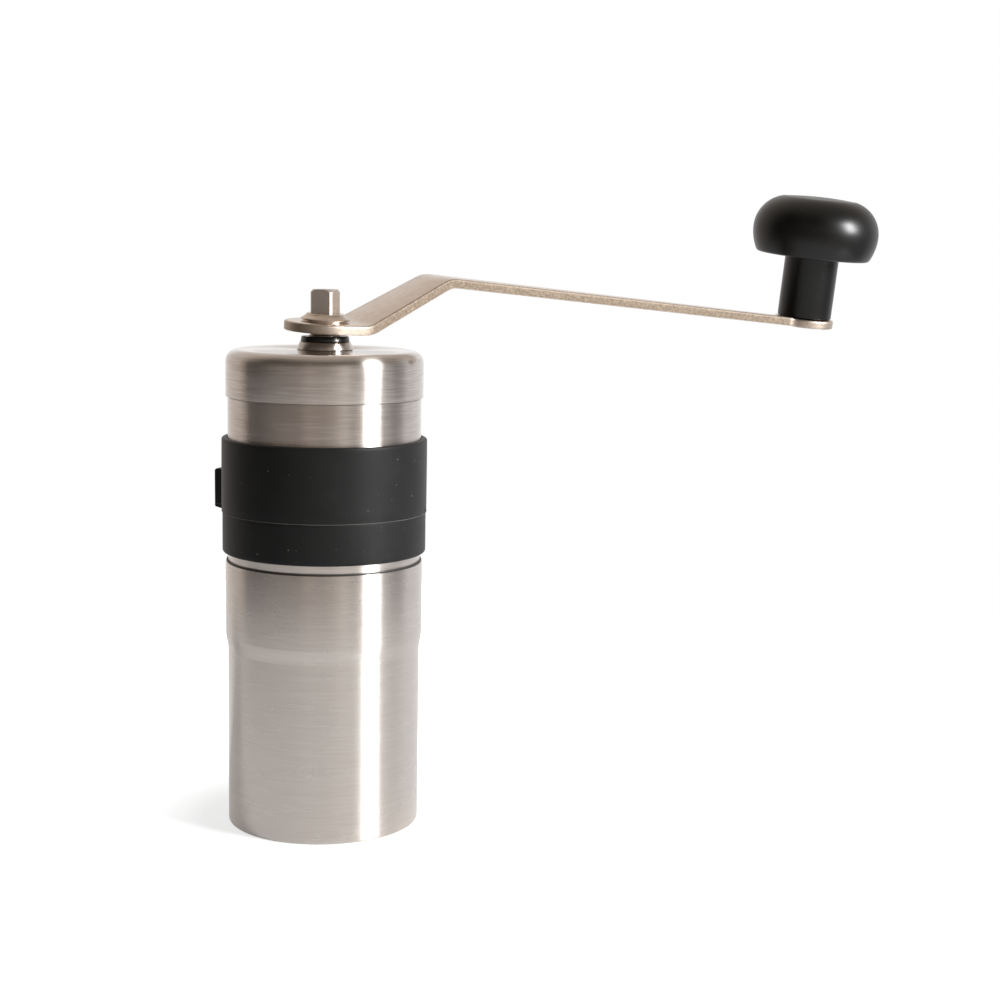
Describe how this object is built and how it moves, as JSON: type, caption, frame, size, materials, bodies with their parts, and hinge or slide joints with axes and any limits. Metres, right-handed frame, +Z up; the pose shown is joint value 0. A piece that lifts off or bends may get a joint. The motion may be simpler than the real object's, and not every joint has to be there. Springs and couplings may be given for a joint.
{
  "type": "hand crank coffee grinder",
  "caption": "Slim cylindrical hand coffee grinder: steel hopper and cup, rubber grip band, lift-off lid and crank with a mushroom knob, ceramic burrs inside.",
  "frame": {"origin": "centre of the cup's flat base, on the surface it stands on", "axes": "+Z up along the drive shaft; the crank arm points 29 degrees from +X towards +Y at rest, and the front faces -Y"},
  "size_m": [0.1797, 0.1141, 0.1616],
  "materials": {
    "cup_steel": "brushed round the axis",
    "tube_steel": "brushed round the axis",
    "lid_steel": "brushed round the axis",
    "collar_steel": "turned",
    "shaft_steel": "milled and polished",
    "spring_steel": "bright",
    "arm_nickel": "nickel plated, satin",
    "band_rubber": "matt silicone rubber",
    "housing_plastic": "moulded, matt",
    "nut_plastic": "moulded, matt",
    "knob_plastic": "moulded, satin",
    "bush_plastic": "moulded, smooth",
    "burr_ceramic": "fired, matt",
    "bush_bronze": "sintered bronze",
    "insert_brass": "turned"
  },
  "bodies": {
    "cup": {"grounds_cup": "cup_steel"},
    "grinder": {"hopper_tube": "tube_steel", "rubber_band": "band_rubber", "burr_housing": "housing_plastic", "outer_burr": "burr_ceramic", "burr_retainer": "housing_plastic", "lower_bush": "bush_bronze"},
    "lid": {"lid": "lid_steel", "lid_collar": "collar_steel", "lid_bush": "bush_plastic"},
    "shaft": {"drive_shaft": "shaft_steel", "shaft_clip": "spring_steel", "upper_washer": "spring_steel", "lower_washer": "spring_steel", "burr_spring": "spring_steel"},
    "burr": {"inner_burr": "burr_ceramic", "burr_driver": "housing_plastic"},
    "adjuster": {"adjuster_nut": "nut_plastic", "nut_insert": "insert_brass"},
    "crank": {"crank_arm": "arm_nickel", "hub_socket": "arm_nickel", "knob_pin": "shaft_steel", "pin_clip": "spring_steel"},
    "knob": {"knob": "knob_plastic", "knob_cap": "knob_plastic"}
  },
  "joints": [
    {"name": "grinder_lift", "type": "slide", "parent": "cup", "child": "grinder", "axis": [0, 0, 1], "range_m": [0, 0.035]},
    {"name": "lid_lift", "type": "slide", "parent": "grinder", "child": "lid", "axis": [0, 0, 1], "range_m": [0, 0.03]},
    {"name": "crank_spin", "type": "hinge", "parent": "grinder", "child": "shaft", "pos_m": [0, 0, 0.09], "axis": [0, 0, 1], "continuous": true},
    {"name": "burr_rise", "type": "slide", "parent": "shaft", "child": "burr", "axis": [0, 0, 1], "range_m": [0, 0.001], "deforming": ["burr_spring"]},
    {"name": "adjuster_turn", "type": "hinge", "parent": "burr", "child": "adjuster", "pos_m": [0, 0, 0.055], "axis": [0, 0, 1], "range_deg": [0, 360]},
    {"name": "crank_lift", "type": "slide", "parent": "shaft", "child": "crank", "axis": [0, 0, 1], "range_m": [0, 0.06]},
    {"name": "knob_spin", "type": "hinge", "parent": "crank", "child": "knob", "pos_m": [0.13133, 0.07256, 0.12669], "axis": [0.0856, -0.0701, 0.9939], "continuous": true}
  ],
  "couplings": [
    {"joint": "lid_lift", "follows": "crank_lift", "ratio": 0.5},
    {"joint": "adjuster_turn", "follows": "burr_rise", "rad_per_m": 6283.2}
  ]
}
